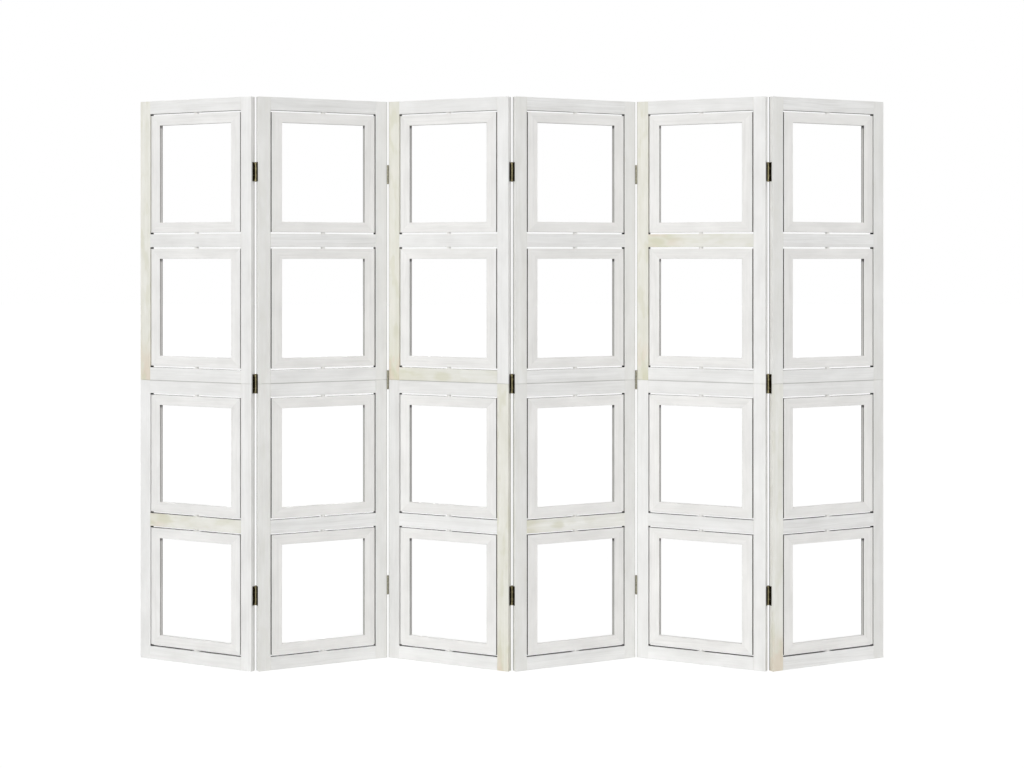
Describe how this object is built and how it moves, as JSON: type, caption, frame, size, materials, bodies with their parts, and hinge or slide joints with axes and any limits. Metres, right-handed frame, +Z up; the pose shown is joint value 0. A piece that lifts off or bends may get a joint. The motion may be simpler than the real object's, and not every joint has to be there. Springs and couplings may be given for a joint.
{
  "type": "photo frame room divider",
  "caption": "Folding room divider of hinged whitewashed wooden panels in a zigzag, each filled with square-cornered picture frames that swivel on upright dowels.",
  "frame": {"origin": "on the floor, at the middle of the screen's footprint: under the middle hinge line along the screen, and midway between its near and far hinge lines", "axes": "+X along the zigzag of panels to the viewer's right, +Y away from the viewer through the screen, +Z up"},
  "size_m": [2.2064, 0.2004, 1.65],
  "materials": {
    "whitewashed_wood": "brushed whitewash over fine straight grain, some members creamier",
    "frame_wood": "white satin paint over fine straight grain",
    "dowel_wood": "white satin paint",
    "antique_brass": "aged brass, dull, dark in the hollows",
    "dark_brass": "aged brass, dull"
  },
  "bodies": {
    "panel_1": {"panel_1_stiles": "whitewashed_wood", "panel_1_rails": "whitewashed_wood", "panel_1_dowels": "dowel_wood", "panel_1_hinge_leaves": "antique_brass", "panel_1_hinge_screws": "dark_brass", "hinge_pins_1_2": "dark_brass"},
    "panel_2": {"panel_2_stiles": "whitewashed_wood", "panel_2_rails": "whitewashed_wood", "panel_2_dowels": "dowel_wood", "panel_2_hinge_leaves": "antique_brass", "panel_2_hinge_screws": "dark_brass", "hinge_pins_2_3": "dark_brass"},
    "panel_3": {"panel_3_stiles": "whitewashed_wood", "panel_3_rails": "whitewashed_wood", "panel_3_dowels": "dowel_wood", "panel_3_hinge_leaves": "antique_brass", "panel_3_hinge_screws": "dark_brass", "hinge_pins_3_4": "dark_brass"},
    "panel_4": {"panel_4_stiles": "whitewashed_wood", "panel_4_rails": "whitewashed_wood", "panel_4_dowels": "dowel_wood", "panel_4_hinge_leaves": "antique_brass", "panel_4_hinge_screws": "dark_brass", "hinge_pins_4_5": "dark_brass"},
    "panel_5": {"panel_5_stiles": "whitewashed_wood", "panel_5_rails": "whitewashed_wood", "panel_5_dowels": "dowel_wood", "panel_5_hinge_leaves": "antique_brass", "panel_5_hinge_screws": "dark_brass", "hinge_pins_5_6": "dark_brass"},
    "panel_6": {"panel_6_stiles": "whitewashed_wood", "panel_6_rails": "whitewashed_wood", "panel_6_dowels": "dowel_wood", "panel_6_hinge_leaves": "antique_brass", "panel_6_hinge_screws": "dark_brass"},
    "swivel_frame_p1_r1": {"photo_frame_p1_r1": "frame_wood"},
    "swivel_frame_p1_r2": {"photo_frame_p1_r2": "frame_wood"},
    "swivel_frame_p1_r3": {"photo_frame_p1_r3": "frame_wood"},
    "swivel_frame_p1_r4": {"photo_frame_p1_r4": "frame_wood"},
    "swivel_frame_p2_r1": {"photo_frame_p2_r1": "frame_wood"},
    "swivel_frame_p2_r2": {"photo_frame_p2_r2": "frame_wood"},
    "swivel_frame_p2_r3": {"photo_frame_p2_r3": "frame_wood"},
    "swivel_frame_p2_r4": {"photo_frame_p2_r4": "frame_wood"},
    "swivel_frame_p3_r1": {"photo_frame_p3_r1": "frame_wood"},
    "swivel_frame_p3_r2": {"photo_frame_p3_r2": "frame_wood"},
    "swivel_frame_p3_r3": {"photo_frame_p3_r3": "frame_wood"},
    "swivel_frame_p3_r4": {"photo_frame_p3_r4": "frame_wood"},
    "swivel_frame_p4_r1": {"photo_frame_p4_r1": "frame_wood"},
    "swivel_frame_p4_r2": {"photo_frame_p4_r2": "frame_wood"},
    "swivel_frame_p4_r3": {"photo_frame_p4_r3": "frame_wood"},
    "swivel_frame_p4_r4": {"photo_frame_p4_r4": "frame_wood"},
    "swivel_frame_p5_r1": {"photo_frame_p5_r1": "frame_wood"},
    "swivel_frame_p5_r2": {"photo_frame_p5_r2": "frame_wood"},
    "swivel_frame_p5_r3": {"photo_frame_p5_r3": "frame_wood"},
    "swivel_frame_p5_r4": {"photo_frame_p5_r4": "frame_wood"},
    "swivel_frame_p6_r1": {"photo_frame_p6_r1": "frame_wood"},
    "swivel_frame_p6_r2": {"photo_frame_p6_r2": "frame_wood"},
    "swivel_frame_p6_r3": {"photo_frame_p6_r3": "frame_wood"},
    "swivel_frame_p6_r4": {"photo_frame_p6_r4": "frame_wood"}
  },
  "joints": [
    {"name": "fold_3_4", "type": "hinge", "parent": "panel_3", "child": "panel_4", "pos_m": [0, -0.08298, 0.825], "axis": [0, 0, 1], "range_deg": [-55, 125]},
    {"name": "fold_4_5", "type": "hinge", "parent": "panel_4", "child": "panel_5", "pos_m": [0.36862, 0.08298, 0.825], "axis": [0, 0, -1], "range_deg": [-55, 125]},
    {"name": "fold_5_6", "type": "hinge", "parent": "panel_5", "child": "panel_6", "pos_m": [0.73724, -0.08298, 0.825], "axis": [0, 0, 1], "range_deg": [-55, 125]},
    {"name": "fold_2_3", "type": "hinge", "parent": "panel_3", "child": "panel_2", "pos_m": [-0.36862, 0.08298, 0.825], "axis": [0, 0, 1], "range_deg": [-55, 125]},
    {"name": "fold_1_2", "type": "hinge", "parent": "panel_2", "child": "panel_1", "pos_m": [-0.73724, -0.08298, 0.825], "axis": [0, 0, -1], "range_deg": [-55, 125]},
    {"name": "swivel_p1_r1", "type": "hinge", "parent": "panel_1", "child": "swivel_frame_p1_r1", "pos_m": [-0.92154, 0, 1.43425], "axis": [0, 0, 1], "continuous": true},
    {"name": "swivel_p1_r2", "type": "hinge", "parent": "panel_1", "child": "swivel_frame_p1_r2", "pos_m": [-0.92154, 0, 1.04075], "axis": [0, 0, 1], "continuous": true},
    {"name": "swivel_p1_r3", "type": "hinge", "parent": "panel_1", "child": "swivel_frame_p1_r3", "pos_m": [-0.92154, 0, 0.60925], "axis": [0, 0, 1], "continuous": true},
    {"name": "swivel_p1_r4", "type": "hinge", "parent": "panel_1", "child": "swivel_frame_p1_r4", "pos_m": [-0.92154, 0, 0.21575], "axis": [0, 0, 1], "continuous": true},
    {"name": "swivel_p2_r1", "type": "hinge", "parent": "panel_2", "child": "swivel_frame_p2_r1", "pos_m": [-0.55293, 0, 1.43425], "axis": [0, 0, 1], "continuous": true},
    {"name": "swivel_p2_r2", "type": "hinge", "parent": "panel_2", "child": "swivel_frame_p2_r2", "pos_m": [-0.55293, 0, 1.04075], "axis": [0, 0, 1], "continuous": true},
    {"name": "swivel_p2_r3", "type": "hinge", "parent": "panel_2", "child": "swivel_frame_p2_r3", "pos_m": [-0.55293, 0, 0.60925], "axis": [0, 0, 1], "continuous": true},
    {"name": "swivel_p2_r4", "type": "hinge", "parent": "panel_2", "child": "swivel_frame_p2_r4", "pos_m": [-0.55293, 0, 0.21575], "axis": [0, 0, 1], "continuous": true},
    {"name": "swivel_p3_r1", "type": "hinge", "parent": "panel_3", "child": "swivel_frame_p3_r1", "pos_m": [-0.18431, 0, 1.43425], "axis": [0, 0, 1], "continuous": true},
    {"name": "swivel_p3_r2", "type": "hinge", "parent": "panel_3", "child": "swivel_frame_p3_r2", "pos_m": [-0.18431, 0, 1.04075], "axis": [0, 0, 1], "continuous": true},
    {"name": "swivel_p3_r3", "type": "hinge", "parent": "panel_3", "child": "swivel_frame_p3_r3", "pos_m": [-0.18431, 0, 0.60925], "axis": [0, 0, 1], "continuous": true},
    {"name": "swivel_p3_r4", "type": "hinge", "parent": "panel_3", "child": "swivel_frame_p3_r4", "pos_m": [-0.18431, 0, 0.21575], "axis": [0, 0, 1], "continuous": true},
    {"name": "swivel_p4_r1", "type": "hinge", "parent": "panel_4", "child": "swivel_frame_p4_r1", "pos_m": [0.18431, 0, 1.43425], "axis": [0, 0, 1], "continuous": true},
    {"name": "swivel_p4_r2", "type": "hinge", "parent": "panel_4", "child": "swivel_frame_p4_r2", "pos_m": [0.18431, 0, 1.04075], "axis": [0, 0, 1], "continuous": true},
    {"name": "swivel_p4_r3", "type": "hinge", "parent": "panel_4", "child": "swivel_frame_p4_r3", "pos_m": [0.18431, 0, 0.60925], "axis": [0, 0, 1], "continuous": true},
    {"name": "swivel_p4_r4", "type": "hinge", "parent": "panel_4", "child": "swivel_frame_p4_r4", "pos_m": [0.18431, 0, 0.21575], "axis": [0, 0, 1], "continuous": true},
    {"name": "swivel_p5_r1", "type": "hinge", "parent": "panel_5", "child": "swivel_frame_p5_r1", "pos_m": [0.55293, 0, 1.43425], "axis": [0, 0, 1], "continuous": true},
    {"name": "swivel_p5_r2", "type": "hinge", "parent": "panel_5", "child": "swivel_frame_p5_r2", "pos_m": [0.55293, 0, 1.04075], "axis": [0, 0, 1], "continuous": true},
    {"name": "swivel_p5_r3", "type": "hinge", "parent": "panel_5", "child": "swivel_frame_p5_r3", "pos_m": [0.55293, 0, 0.60925], "axis": [0, 0, 1], "continuous": true},
    {"name": "swivel_p5_r4", "type": "hinge", "parent": "panel_5", "child": "swivel_frame_p5_r4", "pos_m": [0.55293, 0, 0.21575], "axis": [0, 0, 1], "continuous": true},
    {"name": "swivel_p6_r1", "type": "hinge", "parent": "panel_6", "child": "swivel_frame_p6_r1", "pos_m": [0.92154, 0, 1.43425], "axis": [0, 0, 1], "continuous": true},
    {"name": "swivel_p6_r2", "type": "hinge", "parent": "panel_6", "child": "swivel_frame_p6_r2", "pos_m": [0.92154, 0, 1.04075], "axis": [0, 0, 1], "continuous": true},
    {"name": "swivel_p6_r3", "type": "hinge", "parent": "panel_6", "child": "swivel_frame_p6_r3", "pos_m": [0.92154, 0, 0.60925], "axis": [0, 0, 1], "continuous": true},
    {"name": "swivel_p6_r4", "type": "hinge", "parent": "panel_6", "child": "swivel_frame_p6_r4", "pos_m": [0.92154, 0, 0.21575], "axis": [0, 0, 1], "continuous": true}
  ]
}
